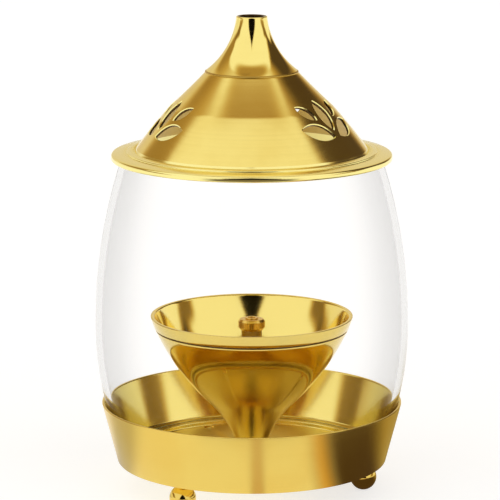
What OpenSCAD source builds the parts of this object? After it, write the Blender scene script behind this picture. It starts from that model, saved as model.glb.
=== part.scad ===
// Oil lamp with a glass chimney: a brass cup on a brass tray with ball feet,
// a barrel-shaped glass that stands in the tray, and a pierced brass lid on top.
// Millimetres, +Z up, origin on the lamp's axis at the level the feet stand on.

/* [Glass chimney] */
// Outside diameter at the widest place
glass_belly_d = 110; // [104:0.5:118]
// Outside diameter of the upper mouth
glass_mouth_d = 90.3; // [84:0.1:96]
// Outside diameter of the lower end
glass_base_d = 90.8; // [84:0.2:96]
// Height from the widest place up to the mouth
glass_upper_h = 60.3; // [48:0.1:70]
// Height from the widest place down to the lower end
glass_lower_h = 45.1; // [38:0.1:54]
// Thickness of the glass
glass_wall = 2.2; // [1.6:0.1:3]

/* [Tray] */
// Height from the underside to the rim
tray_h = 21.1; // [17:0.1:26]
// Thickness of the side wall
tray_wall = 1; // [0.9:0.1:2]
// Width of the broken edges of the wall
tray_edge = 0.3; // [0.15:0.05:0.4]
// Thickness of the floor
tray_floor_t = 1.5; // [1:0.1:2.5]
// Height of the ledge that carries the glass, above the floor
ledge_h = 1.7; // [1:0.1:3]
// How far the ledge reaches inside the glass
ledge_margin = 1.2; // [0.6:0.1:2.5]
// Gap from the glass to the wall at the ledge
base_gap = 1.9; // [1.4:0.1:2.6]
// Gap from the glass to the wall at the rim
rim_gap = 0.35; // [0.3:0.05:1.2]

/* [Feet] */
// Height from the ground to the tray
foot_h = 10.2; // [9.4:0.1:13]
// Diameter of each ball
foot_d = 9.3; // [8:0.1:9.8]
// Diameter of the flat that the ball stands on
foot_flat_d = 2.4; // [1.6:0.1:4]
// Diameter of the neck that meets the tray
foot_neck_d = 5; // [3.8:0.1:6]
// Diameter of the riveted tenon
foot_tenon_d = 3; // [2:0.1:3.2]
// Distance from the ledge's inner edge to the middle of a foot
foot_inset = 2; // [2:0.1:6]
// Number of feet
foot_count = 3; // [3:1:5]
// Direction of the first foot, from the lamp's right, in degrees
foot_turn = -6.8; // [-60:0.1:60]

/* [Cup] */
// Height from the tray's floor to the rim
cup_h = 50.4; // [44:0.1:60]
// Diameter at the rim
cup_rim_d = 71.4; // [64:0.2:76]
// Diameter just under the rim's band
cup_shoulder_d = 68; // [60:0.2:70]
// Diameter where the bowl turns into the stem
cup_bend_d = 29; // [26:0.2:34]
// Height of that place above the tray's floor
cup_bend_h = 18.5; // [15:0.1:22]
// Diameter of the stem on the tray's floor
cup_stem_d = 8.2; // [7.4:0.1:10]
// Swell of the bowl outside the straight line
bowl_swell = 1.65; // [0.8:0.05:2.4]
// Hollow of the stem inside the straight line
stem_hollow = 1.4; // [0.6:0.05:2]
// Thickness of the bowl
cup_wall = 1.5; // [1:0.1:2]
// Thickness of the rim
cup_rim_wall = 1.4; // [1:0.1:2]
// Height of the band under the rim
band_h = 4.1; // [3:0.1:7]
// How far the band stands out
band_proud = 0.35; // [0.2:0.05:0.7]
// Width of the turned groove under the band
groove_w = 0.6; // [0.4:0.05:1]
// Depth of the turned groove
groove_depth = 0.45; // [0.25:0.05:0.6]
// Height of the bowl's inner floor above the bend
bowl_floor_lift = 1; // [0.6:0.1:3]

/* [Cup fastening] */
// Diameter of the screw
screw_d = 4; // [3:0.1:4.4]
// Depth that the screw reaches into the stem
screw_reach = 9; // [6:0.5:12]
// Diameter of the screw's head
screw_head_d = 7.4; // [6.6:0.1:8.4]
// Height of the screw's head
screw_head_h = 2.2; // [1.6:0.1:3]
// Width of the screwdriver slot
slot_w = 1; // [0.6:0.1:1.4]
// Depth of the screwdriver slot
slot_depth = 1; // [0.6:0.1:1.3]
// Outside diameter of the washer
washer_d = 9; // [8.6:0.1:12]
// Thickness of the washer
washer_t = 0.8; // [0.5:0.1:1.2]

/* [Wick holder] */
// Diameter of the post
post_d = 7.2; // [6.6:0.1:8.4]
// Diameter of the post's round base
post_base_d = 11; // [9.5:0.1:13]
// Height of the post's round base
post_base_h = 1.6; // [1:0.1:2.5]
// Diameter of the post's root in the cup
post_root_d = 5; // [4:0.1:5.6]
// Depth of the post's root in the cup
post_root_depth = 5; // [3:0.1:5.5]
// Diameter of the post's bore
post_bore_d = 5; // [4.6:0.1:5.4]
// Diameter of the two oil holes through the post's wall
oil_hole_d = 2.4; // [1.6:0.1:3]
// Height of the oil holes above the base
oil_hole_h = 2.6; // [2:0.1:4]
// Diameter of the knurled nut
nut_d = 9.6; // [9:0.1:11.4]
// Height of the knurled nut
nut_h = 3.8; // [3:0.1:5]
// Width of the bevels on the nut's edges
nut_bevel = 0.7; // [0.4:0.05:1]
// Number of flutes round the nut
flute_count = 20; // [12:1:28]
// Diameter of each flute
flute_d = 0.9; // [0.6:0.05:1.1]
// Length of the nut's shank inside the post
shank_h = 8; // [6:0.1:10]
// Outside diameter of the wick tube
tube_d = 3.6; // [3.2:0.1:3.9]
// Bore of the wick tube
tube_bore_d = 2.6; // [2.2:0.1:2.8]
// Diameter of the tube's rolled lip
lip_roll_d = 4.6; // [4.2:0.1:5.4]
// Thickness of the tube's rolled lip
lip_roll_t = 0.5; // [0.4:0.1:1]
// Diameter of the collar that keeps the tube in the nut
collar_d = 4.4; // [4.1:0.1:4.5]
// Thickness of that collar
collar_t = 0.8; // [0.5:0.1:1.2]
// How far the tube's lip lies below the cup's rim
wick_below_rim = 0.9; // [0:0.1:4]

/* [Lid] */
// How far the flange reaches past the glass
flange_overhang = 3.85; // [2.8:0.05:6]
// Thickness of the flange's edge
flange_edge_t = 2.1; // [1.6:0.1:2.5]
// Width of the broken edges of the flange
flange_edge = 0.4; // [0.2:0.05:0.6]
// Swell of the flange's top outside the straight line
flange_swell = 0.25; // [0.15:0.05:0.4]
// Width of the raised ring round the cone
ring_w = 3.4; // [2.8:0.1:4]
// How far the raised ring's edge lies below the cone's foot
ring_drop = 0.8; // [0.6:0.05:0.9]
// Size of the turned steps beside the ring
ring_step = 0.5; // [0.3:0.05:0.5]
// Height of the cone's foot above the flange's underside
crown_h = 3.9; // [3.8:0.1:6]
// Depth of the groove under the flange, in which the glass's mouth stands
lid_groove_depth = 1; // [0.6:0.1:1.2]
// Thickness of the lip inside the groove
lid_lip_wall = 1; // [0.8:0.1:1.6]
// Distance from the lip to the cone's foot
cone_inset = 1.3; // [1:0.1:2.5]
// Diameter at the shoulder, where the cone's slope changes
cone_shoulder_d = 56.4; // [50:0.2:60]
// Height from the cone's foot to the shoulder
cone_lower_h = 14.7; // [11:0.1:18]
// Swell of the lower cone outside the straight line
cone_swell = 0.2; // [0.1:0.05:0.6]
// Diameter where the spout sits
spout_seat_d = 32.2; // [29:0.2:36]
// Height from the shoulder to the spout's seat
cone_upper_h = 11.9; // [9:0.1:15]
// Hollow of the upper cone inside the straight line
cone_hollow = 0.15; // [0.1:0.05:0.4]
// Upright thickness of the cone
cone_t = 1.6; // [1.2:0.1:2.2]

/* [Spout] */
// Height of the spout
spout_h = 19.4; // [16:0.1:25]
// Outside diameter of the mouth
spout_mouth_d = 10.7; // [9:0.1:13]
// Hollow of the flare inside the straight line
spout_flare = 2.35; // [1.4:0.05:3]
// How far the spout's foot stands out from the cone
spout_foot_proud = 0.15; // [0.1:0.05:0.6]
// Height of the spout's upright foot
spout_foot_h = 0.3; // [0.2:0.05:0.8]
// Thickness of the spout's wall, measured level
spout_wall = 1.2; // [1:0.05:1.6]
// Depth of the spigot inside the cone
spigot_depth = 2.2; // [1.4:0.1:3]
// Thickness of the spigot
spigot_wall = 1; // [0.8:0.1:1.4]

/* [Leaf vents] */
// Direction of the first sprig, from the front, in degrees
sprig_1_turn = 58.5; // [40:0.5:80]
// Direction of the second sprig
sprig_2_turn = -72.5; // [-90:0.5:-50]
// Direction of the third sprig
sprig_3_turn = 173; // [150:0.5:200]
// How far the first sprig lies above its usual height
sprig_1_lift = 0.2; // [-1.5:0.1:1]
// How far the second sprig lies above its usual height
sprig_2_lift = -0.8; // [-1.5:0.1:1]
// How far the third sprig lies above its usual height
sprig_3_lift = 0; // [-1.5:0.1:1]
// Length of the middle leaf
leaf_mid_l = 12.6; // [10:0.1:14]
// Width of the middle leaf
leaf_mid_w = 6; // [4:0.1:6.4]
// How far the middle leaf's centre lies below the shoulder
leaf_mid_drop = 1; // [0.2:0.1:1.5]
// Length of the upper side leaves
leaf_up_l = 8.6; // [6:0.1:9.4]
// Width of the upper side leaves
leaf_up_w = 3.8; // [2.6:0.1:4.4]
// How far the upper side leaves lie above the shoulder
leaf_up_lift = 0.4; // [0:0.1:1.6]
// Angle round the cone from the middle leaf to an upper side leaf, in degrees
leaf_up_spread = 16.5; // [16:0.5:20]
// Lean of the upper side leaves from upright, in degrees
leaf_up_lean = 46; // [38:1:50]
// Length of the lower side leaves
leaf_low_l = 14; // [10:0.1:14.4]
// Width of the lower side leaves
leaf_low_w = 6.2; // [4:0.1:6.6]
// How far the lower side leaves lie below the shoulder
leaf_low_drop = 5.9; // [5.4:0.1:7]
// Angle round the cone from the middle leaf to a lower side leaf, in degrees
leaf_low_spread = 14; // [13.5:0.5:17]
// Lean of the lower side leaves from upright, in degrees
leaf_low_lean = 72; // [66:1:76]

/* [Clearances] */
// Gap on each side of the glass in the lid's groove
lid_gap = 0.35; // [0.2:0.05:0.8]
// Gap on each side of a turned or screwed fit
fit_gap = 0.05; // [0.03:0.01:0.1]
// Gap round the screw in the tray
screw_gap = 0.2; // [0.1:0.05:0.5]

/* [Hidden] */
$fn = 96;
BRASS = [0.83, 0.66, 0.26];
BRASS_DARK = [0.62, 0.46, 0.16];
GLASS = [0.9, 0.94, 0.96, 0.35];
// An overlap for cuts that must pass a face
past = 1;

// Radius of an arc that starts upright and has moved in by s after a height of h
function upright_arc_r(h, s) = (h * h + s * s) / (2 * s);
// Radius of an arc over a chord of length c with a rise of s
function rise_arc_r(c, s) = (c * c / 4 + s * s) / (2 * s);
function left_of(p, q) = [p[1] - q[1], q[0] - p[0]] / norm(q - p);
// Centre of the arc over the chord from p to q that rises by s to its left
function arc_centre(p, q, s) = (p + q) / 2 + left_of(p, q) * (s - rise_arc_r(norm(q - p), s));

// Heights, from the ground up
foot_r = foot_d / 2;
foot_centre_z = sqrt(pow(foot_r, 2) - pow(foot_flat_d / 2, 2));
tray_z = foot_h;
floor_z = tray_z + tray_floor_t;
ledge_z = floor_z + ledge_h;
belly_z = ledge_z + glass_lower_h;
mouth_z = belly_z + glass_upper_h;
tray_rim_z = tray_z + tray_h;
cup_rim_z = floor_z + cup_h;

// Glass, as two arcs that are upright at the belly
belly_r = glass_belly_d / 2;
upper_arc = upright_arc_r(glass_upper_h, belly_r - glass_mouth_d / 2);
lower_arc = upright_arc_r(glass_lower_h, belly_r - glass_base_d / 2);
function glass_arc_x(arc, wall, h) = belly_r - arc + sqrt(pow(arc - wall, 2) - h * h);
mouth_in_r = glass_arc_x(upper_arc, glass_wall, glass_upper_h);
base_in_r = glass_arc_x(lower_arc, glass_wall, glass_lower_h);

// Tray, whose wall follows the glass
tray_in_ledge_r = glass_base_d / 2 + base_gap;
tray_in_rim_r = glass_arc_x(lower_arc, 0, belly_z - tray_rim_z) + rim_gap;
tray_lean = (tray_in_rim_r - tray_in_ledge_r) / (tray_rim_z - ledge_z);
function tray_in_r(z) = tray_in_ledge_r + (z - ledge_z) * tray_lean;
function tray_out_r(z) = tray_in_r(z) + tray_wall;
ledge_in_r = base_in_r - ledge_margin;
foot_pitch_r = ledge_in_r - foot_inset;

// Cup
bend = [cup_bend_d / 2, floor_z + cup_bend_h];
stem = [cup_stem_d / 2, floor_z];
band_z = cup_rim_z - band_h;
groove_z = band_z - groove_w;
shoulder = [cup_shoulder_d / 2, groove_z];
bowl_arc = rise_arc_r(norm(shoulder - bend), bowl_swell);
bowl_centre = arc_centre(shoulder, bend, bowl_swell);
bowl_floor_z = bend[1] + bowl_floor_lift;
function bowl_in_r(z) = bowl_centre[0] + sqrt(pow(bowl_arc - cup_wall, 2) - pow(bowl_centre[1] - z, 2));

// Wick holder
lip_z = cup_rim_z - wick_below_rim - lip_roll_t;
nut_z = lip_z - nut_h;
shank_z = nut_z - shank_h;
collar_z = shank_z - collar_t;
post_floor_z = bowl_floor_z + post_base_h;

// Lid
flange_r = glass_mouth_d / 2 + flange_overhang;
flange_z = mouth_z - lid_groove_depth;
groove_out_r = glass_arc_x(upper_arc, 0, glass_upper_h - lid_groove_depth) + lid_gap;
lip_out_r = mouth_in_r - lid_gap;
lip_in_r = lip_out_r - lid_lip_wall;
cone_foot = [lip_in_r - cone_inset, flange_z + crown_h];
cone_shoulder = [cone_shoulder_d / 2, cone_foot[1] + cone_lower_h];
spout_seat = [spout_seat_d / 2, cone_shoulder[1] + cone_upper_h];
lower_lean = (cone_foot[0] - cone_shoulder[0]) / cone_lower_h;
cone_in_foot_r = cone_foot[0] - cone_t * lower_lean;
cone_hole_r = spout_seat[0] - cone_t;
ring_z = cone_foot[1] - ring_drop;

// Spout
spout_top_z = spout_seat[1] + spout_h;
spout_foot_r = spout_seat[0] + spout_foot_proud;
spigot_r = cone_hole_r - fit_gap;

// The sliver between the chord from p to q and an arc that rises by s to its left,
// carried a little past the chord so that it joins or cuts cleanly
module sliver(p, q, s) {
    length = norm(q - p);
    intersection() {
        translate(arc_centre(p, q, s)) circle(r = rise_arc_r(length, s));
        translate(p) rotate(atan2(q[1] - p[1], q[0] - p[0])) translate([0, -past])
            square([length, s + 2 * past]);
    }
}

// A ring-shaped solid with a level top and bottom
module ring(r_in, r_out, z, h) {
    difference() {
        translate([0, 0, z]) cylinder(r = r_out, h = h);
        translate([0, 0, z - past]) cylinder(r = r_in, h = h + 2 * past);
    }
}

module foot_place(i) {
    rotate(foot_turn + i * 360 / foot_count) translate([foot_pitch_r, 0, 0]) children();
}

module tray_section() {
    polygon([
        [0, tray_z],
        [tray_out_r(tray_z) - tray_edge, tray_z],
        [tray_out_r(tray_z + tray_edge), tray_z + tray_edge],
        [tray_out_r(tray_rim_z - tray_edge), tray_rim_z - tray_edge],
        [tray_out_r(tray_rim_z) - tray_edge, tray_rim_z],
        [tray_in_r(tray_rim_z) + tray_edge, tray_rim_z],
        [tray_in_r(tray_rim_z - tray_edge), tray_rim_z - tray_edge],
        [tray_in_r(ledge_z), ledge_z],
        [ledge_in_r, ledge_z],
        [ledge_in_r, floor_z],
        [0, floor_z]
    ]);
}

module tray() {
    color(BRASS) difference() {
        rotate_extrude() tray_section();
        translate([0, 0, tray_z - past]) cylinder(d = screw_d + 2 * screw_gap, h = tray_floor_t + 2 * past);
        for (i = [0:foot_count - 1]) {
            foot_place(i) translate([0, 0, tray_z - past])
                cylinder(d = foot_tenon_d + 2 * fit_gap, h = tray_floor_t + 2 * past);
        }
    }
}

// A turned ball with a flat below, a neck against the tray and a tenon through its floor
module foot(i) {
    color(BRASS_DARK) foot_place(i) union() {
        rotate_extrude() intersection() {
            translate([0, foot_centre_z]) circle(r = foot_r);
            square([foot_r, foot_d]);
        }
        translate([0, 0, foot_centre_z]) cylinder(d = foot_neck_d, h = tray_z - foot_centre_z);
        translate([0, 0, foot_centre_z]) cylinder(d = foot_tenon_d, h = floor_z - foot_centre_z);
    }
}

module cup_section() {
    difference() {
        union() {
            polygon([
                [0, floor_z],
                stem,
                bend,
                shoulder,
                [shoulder[0] - groove_depth, groove_z],
                [shoulder[0] - groove_depth, band_z],
                [shoulder[0] + band_proud, band_z],
                [cup_rim_d / 2, cup_rim_z],
                [0, cup_rim_z]
            ]);
            sliver(shoulder, bend, bowl_swell);
        }
        sliver(stem, bend, stem_hollow);
        intersection() {
            translate(bowl_centre) circle(r = bowl_arc - cup_wall);
            translate([0, bowl_floor_z]) square([cup_rim_d, groove_z - bowl_floor_z]);
        }
        polygon([
            [0, groove_z],
            [bowl_in_r(groove_z), groove_z],
            [cup_rim_d / 2 - cup_rim_wall, cup_rim_z],
            [0, cup_rim_z]
        ]);
    }
}

module cup() {
    color(BRASS) difference() {
        rotate_extrude() cup_section();
        translate([0, 0, floor_z - past]) cylinder(d = screw_d + 2 * fit_gap, h = screw_reach + past);
        translate([0, 0, bowl_floor_z - post_root_depth])
            cylinder(d = post_root_d + 2 * fit_gap, h = post_root_depth + past);
    }
}

module cup_screw() {
    head_z = tray_z - washer_t - screw_head_h;
    color(BRASS_DARK) difference() {
        union() {
            translate([0, 0, head_z]) cylinder(d = screw_head_d, h = screw_head_h);
            translate([0, 0, head_z]) cylinder(d = screw_d, h = floor_z + screw_reach - fit_gap - head_z);
        }
        translate([-screw_head_d, -slot_w / 2, head_z - past])
            cube([2 * screw_head_d, slot_w, slot_depth + past]);
    }
}

module cup_washer() {
    color(BRASS_DARK) ring(screw_d / 2 + screw_gap, washer_d / 2, tray_z - washer_t, washer_t);
}

module wick_post() {
    color(BRASS_DARK) difference() {
        union() {
            translate([0, 0, bowl_floor_z - post_root_depth + fit_gap])
                cylinder(d = post_root_d, h = post_root_depth);
            translate([0, 0, bowl_floor_z]) cylinder(d = post_base_d, h = post_base_h);
            translate([0, 0, bowl_floor_z]) cylinder(d = post_d, h = nut_z - bowl_floor_z);
        }
        translate([0, 0, post_floor_z]) cylinder(d = post_bore_d, h = nut_z - post_floor_z + past);
        translate([0, 0, post_floor_z + oil_hole_h]) rotate([0, 90, 0])
            cylinder(d = oil_hole_d, h = post_d + 2 * past, center = true);
    }
}

// A thin tube for the wick, with a rolled lip above the nut and a collar below its shank
module wick_tube() {
    color(BRASS) difference() {
        union() {
            translate([0, 0, collar_z]) cylinder(d = tube_d, h = lip_z + lip_roll_t - collar_z);
            translate([0, 0, lip_z]) cylinder(d = lip_roll_d, h = lip_roll_t);
            translate([0, 0, collar_z]) cylinder(d = collar_d, h = collar_t);
        }
        translate([0, 0, collar_z - past]) cylinder(d = tube_bore_d, h = lip_z - collar_z + lip_roll_t + 2 * past);
    }
}

// A bevelled thumb nut with flutes round its edge and a shank that screws into the post
module wick_nut() {
    color(BRASS) difference() {
        union() {
            rotate_extrude() polygon([
                [0, nut_z],
                [nut_d / 2 - nut_bevel, nut_z],
                [nut_d / 2, nut_z + nut_bevel],
                [nut_d / 2, lip_z - nut_bevel],
                [nut_d / 2 - nut_bevel, lip_z],
                [0, lip_z]
            ]);
            translate([0, 0, shank_z]) cylinder(d = post_bore_d - 2 * fit_gap, h = shank_h + nut_h / 2);
        }
        translate([0, 0, shank_z - past]) cylinder(d = tube_d + 2 * fit_gap, h = shank_h + nut_h + 2 * past);
        for (i = [0:flute_count - 1]) {
            rotate(i * 360 / flute_count) translate([nut_d / 2, 0, nut_z - past])
                cylinder(d = flute_d, h = nut_h + 2 * past);
        }
    }
}

// One half of the glass wall: a band between two arcs, cut level at both ends
module glass_half(arc, z, h) {
    intersection() {
        difference() {
            translate([belly_r - arc, belly_z]) circle(r = arc);
            translate([belly_r - arc, belly_z]) circle(r = arc - glass_wall);
        }
        translate([0, z]) square([belly_r + past, h]);
    }
}

module glass_chimney() {
    color(GLASS) rotate_extrude() union() {
        glass_half(upper_arc, belly_z, glass_upper_h);
        glass_half(lower_arc, ledge_z, glass_lower_h);
    }
}

// Everything under the cone's outer surface, from its foot to the spout's seat
module under_cone() {
    difference() {
        polygon([
            [0, cone_foot[1]],
            cone_foot,
            cone_shoulder,
            spout_seat,
            [0, spout_seat[1]]
        ]);
        sliver(cone_shoulder, spout_seat, cone_hollow);
    }
    sliver(cone_shoulder, cone_foot, cone_swell);
}

// The flange, with its stepped rings above and its groove for the glass below
module flange_section() {
    ring_r = cone_foot[0] + ring_w;
    edge_z = flange_z + flange_edge_t;
    polygon([
        [lip_in_r, flange_z],
        [lip_out_r, flange_z],
        [lip_out_r, mouth_z],
        [groove_out_r, mouth_z],
        [groove_out_r, flange_z],
        [flange_r - flange_edge, flange_z],
        [flange_r, flange_z + flange_edge],
        [flange_r, edge_z - flange_edge],
        [flange_r - flange_edge, edge_z],
        [ring_r + ring_step, ring_z - ring_step],
        [ring_r, ring_z - ring_step],
        [ring_r, ring_z],
        [cone_foot[0] + 2 * ring_step, cone_foot[1] - ring_step],
        [cone_foot[0] + 2 * ring_step, cone_foot[1] - 2 * ring_step],
        [cone_foot[0] + ring_step, cone_foot[1] - 2 * ring_step],
        cone_foot,
        [cone_in_foot_r, cone_foot[1]],
        [lip_in_r, flange_z + lid_lip_wall]
    ]);
    sliver([ring_r + ring_step, ring_z - ring_step], [flange_r - flange_edge, edge_z], flange_swell);
}

module lid_section() {
    difference() {
        under_cone();
        translate([0, -cone_t]) under_cone();
        square([cone_hole_r, spout_seat[1] + past]);
    }
    flange_section();
}

// A pointed leaf, as the overlap of two circles
module leaf(l, w) {
    arc = rise_arc_r(l, w / 2);
    intersection() {
        translate([0, w / 2 - arc]) circle(r = arc);
        translate([0, arc - w / 2]) circle(r = arc);
    }
}

// A leaf-shaped cutter square to the lower cone, at a height z, turned in the surface by lean
module leaf_cut(turn, z, lean, l, w) {
    r = cone_shoulder[0] + (cone_shoulder[1] - z) * lower_lean;
    reach = 3 * cone_t;
    rotate(turn - 90) translate([r, 0, z]) rotate([0, atan2(1, lower_lean), 0]) rotate(lean + 90)
        translate([0, 0, -reach]) linear_extrude(height = 2 * reach) leaf(l, w);
}

// One sprig: a middle leaf, two short leaves above and two long ones below
module sprig_cut(turn, lift) {
    mid_z = cone_shoulder[1] + lift - leaf_mid_drop;
    up_z = cone_shoulder[1] + lift + leaf_up_lift;
    low_z = cone_shoulder[1] + lift - leaf_low_drop;
    leaf_cut(turn, mid_z, 90, leaf_mid_l, leaf_mid_w);
    for (side = [-1, 1]) {
        leaf_cut(turn + side * leaf_up_spread, up_z, 90 - side * leaf_up_lean, leaf_up_l, leaf_up_w);
        leaf_cut(turn + side * leaf_low_spread, low_z, 90 - side * leaf_low_lean, leaf_low_l, leaf_low_w);
    }
}

module lid_cone() {
    color(BRASS) difference() {
        rotate_extrude() lid_section();
        sprig_cut(sprig_1_turn, sprig_1_lift);
        sprig_cut(sprig_2_turn, sprig_2_lift);
        sprig_cut(sprig_3_turn, sprig_3_lift);
    }
}

// Everything under the spout's flared outer surface
module under_spout() {
    foot_top = [spout_foot_r, spout_seat[1] + spout_foot_h];
    mouth = [spout_mouth_d / 2, spout_top_z];
    difference() {
        polygon([
            [0, spout_seat[1]],
            [spout_foot_r, spout_seat[1]],
            foot_top,
            mouth,
            [0, spout_top_z]
        ]);
        sliver(foot_top, mouth, spout_flare);
    }
}

module spout_section() {
    spigot_in_r = spigot_r - spigot_wall;
    difference() {
        under_spout();
        translate([-spout_wall, 0]) under_spout();
    }
    intersection() {
        under_spout();
        translate([spigot_in_r, spout_seat[1]]) square([spout_foot_r - spigot_in_r, spigot_depth]);
    }
    translate([spigot_in_r, spout_seat[1] - spigot_depth]) square([spigot_wall, spigot_depth + spout_foot_h]);
}

module lid_spout() {
    color(BRASS) rotate_extrude() intersection() {
        spout_section();
        square([spout_foot_r, spout_top_z + past]);
    }
}

tray();
foot(0);  // foot_1
foot(1);  // foot_2
foot(2);  // foot_3
cup();
cup_screw();
cup_washer();
wick_post();
wick_tube();
wick_nut();
glass_chimney();
lid_cone();
lid_spout();
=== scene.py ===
"""A brass oil lamp with a glass chimney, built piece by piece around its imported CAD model."""

import math
from typing import NamedTuple

import bmesh
import bpy
from bpy.props import FloatProperty, FloatVectorProperty, IntProperty, PointerProperty
from mathutils import Matrix, Vector
from mathutils.bvhtree import BVHTree


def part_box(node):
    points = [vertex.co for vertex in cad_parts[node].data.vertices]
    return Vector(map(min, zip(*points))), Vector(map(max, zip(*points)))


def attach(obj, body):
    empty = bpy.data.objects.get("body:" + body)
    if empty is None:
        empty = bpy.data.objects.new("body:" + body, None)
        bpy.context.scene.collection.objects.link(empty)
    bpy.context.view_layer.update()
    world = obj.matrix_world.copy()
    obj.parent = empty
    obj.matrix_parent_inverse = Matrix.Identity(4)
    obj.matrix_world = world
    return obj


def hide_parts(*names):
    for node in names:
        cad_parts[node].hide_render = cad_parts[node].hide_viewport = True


bl_info = {
    "name": "Brass Oil Lamp",
    "version": (1, 0, 0),
    "blender": (4, 5, 0),
    "location": "3D View > Sidebar > Oil Lamp",
    "description": "Turns the tray, cup, wick holder, chimney and pierced lid of a brass oil lamp",
    "category": "Add Mesh",
}

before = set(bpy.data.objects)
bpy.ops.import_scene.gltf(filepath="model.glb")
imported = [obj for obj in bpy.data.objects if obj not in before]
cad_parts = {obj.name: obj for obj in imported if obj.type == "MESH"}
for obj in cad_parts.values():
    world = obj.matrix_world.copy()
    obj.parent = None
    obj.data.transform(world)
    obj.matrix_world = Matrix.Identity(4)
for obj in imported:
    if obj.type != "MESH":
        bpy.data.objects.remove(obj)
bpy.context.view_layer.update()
MM = 0.001


def bottom(node):
    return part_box(node)[0].z


def top(node):
    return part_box(node)[1].z


def length(name, description, mm):
    return level(name, description, mm * MM, min=0)


def level(name, description, metres, **limits):
    return FloatProperty(
        name=name, description=description, default=metres, precision=5, subtype="DISTANCE", unit="LENGTH", **limits
    )


def share(name, description, value):
    return FloatProperty(name=name, description=description, default=value, min=0, max=1, subtype="FACTOR")


def tint(name, description, value):
    return FloatVectorProperty(
        name=name, description=description, default=value, size=3, min=0, max=1, subtype="COLOR"
    )


class TraySizes(bpy.types.PropertyGroup):
    """The tray and its ledge"""

    under_z: level("Underside", "Height of the tray's underside", bottom("tray"))
    rim_z: level("Rim", "Height of the tray's rim", top("tray"))
    floor_z: level("Floor", "Height of the tray's floor, on which the cup stands", bottom("cup"))
    ledge_z: level("Ledge", "Height of the ledge under the glass", bottom("glass_chimney"))
    ledge_r: length("Ledge radius", "Radius of the ledge's inner edge", 41.786)
    wall_ledge_r: length("Wall at the ledge", "Inside radius of the wall at the ledge", 47.3)
    wall_rim_r: length("Wall at the rim", "Inside radius of the wall at the rim", 51.9575)
    wall: length("Wall", "Thickness of the wall", 1.0)
    rounding: length("Rounding", "Radius of the tray's rounded edges", 0.42)


class FootSizes(bpy.types.PropertyGroup):
    """The three ball feet"""

    ball_r: length("Ball", "Radius of a ball", 4.65)
    flat_r: length("Flat", "Radius of the flat that a ball stands on", 1.2)
    neck_r: length("Neck", "Radius of the neck under the tray", 2.5)
    tenon_r: length("Tenon", "Radius of the tenon through the tray's floor", 1.5)
    head_r: length("Rivet head", "Radius of the tenon's hammered head", 1.85)
    head_h: length("Rivet height", "Height of the tenon's hammered head", 0.35)


class CupSizes(bpy.types.PropertyGroup):
    """The stemmed cup"""

    foot_z: level("Foot", "Height of the stem's foot", bottom("cup"))
    rim_z: level("Rim", "Height of the rim", top("cup"))
    rim_r: length("Rim radius", "Radius of the rim", 35.7)
    shoulder_r: length("Shoulder radius", "Radius under the band", 34.0)
    bend_r: length("Bend radius", "Radius where the bowl turns into the stem", 14.5)
    bend_h: length("Bend height", "Height of the bend above the foot", 18.5)
    stem_r: length("Stem radius", "Radius of the stem's foot", 4.1)
    swell: length("Swell", "Swell of the bowl outside the straight line", 1.65)
    hollow: length("Hollow", "Hollow of the stem inside the straight line", 1.4)
    wall: length("Wall", "Thickness of the bowl", 1.5)
    rim_wall: length("Rim thickness", "Thickness of the rim", 1.4)
    steep_h: length("Steep height", "Height of the steep inner wall under the rim", 12.1)
    steep_wall: length("Steep wall", "Thickness of the bowl below the steep inner wall", 0.8)
    band_h: length("Band", "Height of the band under the rim", 4.1)
    band_proud: length("Band step", "How far the band stands out", 0.35)
    groove_w: length("Groove", "Width of the turned groove", 0.6)
    groove_depth: length("Groove depth", "Depth of the turned groove", 0.45)
    floor_lift: length("Floor lift", "Height of the bowl's floor above the bend", 1.0)


class WickSizes(bpy.types.PropertyGroup):
    """The post, thumb nut and tube that hold the wick"""

    post_r: length("Post", "Radius of the post", 3.6)
    base_r: length("Base", "Radius of the post's base", 5.5)
    base_h: length("Base height", "Height of the post's base", 1.6)
    root_r: length("Root", "Radius of the post's root", 2.5)
    root_depth: length("Root depth", "Depth of the root in the cup", 5.0)
    bore_r: length("Bore", "Radius of the post's bore", 2.5)
    oil_hole_r: length("Oil hole", "Radius of the two oil holes", 1.2)
    oil_hole_h: length("Oil hole height", "Height of the oil holes above the base", 2.6)
    nut_r: length("Nut", "Radius of the thumb nut", 4.8)
    nut_h: length("Nut height", "Height of the thumb nut", 3.8)
    nut_bevel: length("Nut bevel", "Width of the nut's bevels", 0.7)
    shank_r: length("Shank", "Radius of the nut's shank", 2.45)
    tube_r: length("Tube", "Outside radius of the wick tube", 1.8)
    tube_bore_r: length("Tube bore", "Radius of the wick tube's bore", 1.3)
    lip_r: length("Lip", "Radius of the tube's rolled lip", 2.3)
    lip_t: length("Lip thickness", "Thickness of the rolled lip", 0.5)
    collar_r: length("Collar", "Radius of the collar below the shank", 2.2)
    collar_t: length("Collar thickness", "Thickness of the collar", 0.8)
    knurls: IntProperty(name="Knurls", description="Points of the knurl round the nut", default=36, min=12)


class ChimneySizes(bpy.types.PropertyGroup):
    """The barrel glass"""

    foot_z: level("Lower end", "Height of the lower end", bottom("glass_chimney"))
    mouth_z: level("Mouth", "Height of the upper mouth", top("glass_chimney"))
    belly_h: length("Belly height", "Height of the widest place above the lower end", 45.1)
    belly_r: length("Belly", "Outside radius at the widest place", 55.0)
    mouth_r: length("Mouth radius", "Outside radius of the mouth", 45.15)
    foot_r: length("Lower radius", "Outside radius of the lower end", 45.4)
    wall: length("Wall", "Thickness of the glass", 2.2)


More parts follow.
